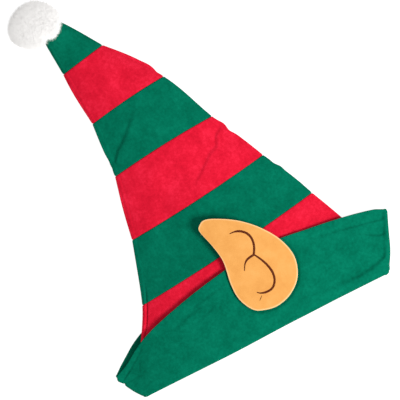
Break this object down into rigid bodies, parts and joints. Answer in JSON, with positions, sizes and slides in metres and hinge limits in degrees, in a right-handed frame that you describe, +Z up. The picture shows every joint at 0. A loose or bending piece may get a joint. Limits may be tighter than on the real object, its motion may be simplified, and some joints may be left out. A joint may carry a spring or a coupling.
{
  "type": "elf hat",
  "caption": "Striped felt elf hat lying flat: leaning cone, turned-up cuff with pointed ends, felt ears on its faces and a fur pompom on the tip.",
  "frame": {"origin": "on the surface that the hat lies on, under the middle of its outline", "axes": "+Y from the mouth to the tip, +X across the mouth to the right of the face that shows, +Z up"},
  "size_m": [0.3546, 0.4476, 0.0512],
  "materials": {
    "felt_green": "matt polyester felt",
    "felt_red": "matt polyester felt",
    "felt_tan": "thick stiff felt with a cut edge",
    "fur_white": "short dense fur"
  },
  "bodies": {
    "root": {"strip_1_green_tip": "felt_green", "strip_2_red": "felt_red", "strip_3_green": "felt_green", "strip_4_red": "felt_red", "strip_5_green": "felt_green", "strip_6_red": "felt_red", "cuff": "felt_green", "ear_upper": "felt_tan", "ear_lower": "felt_tan", "pompom": "fur_white"}
  },
  "joints": []
}
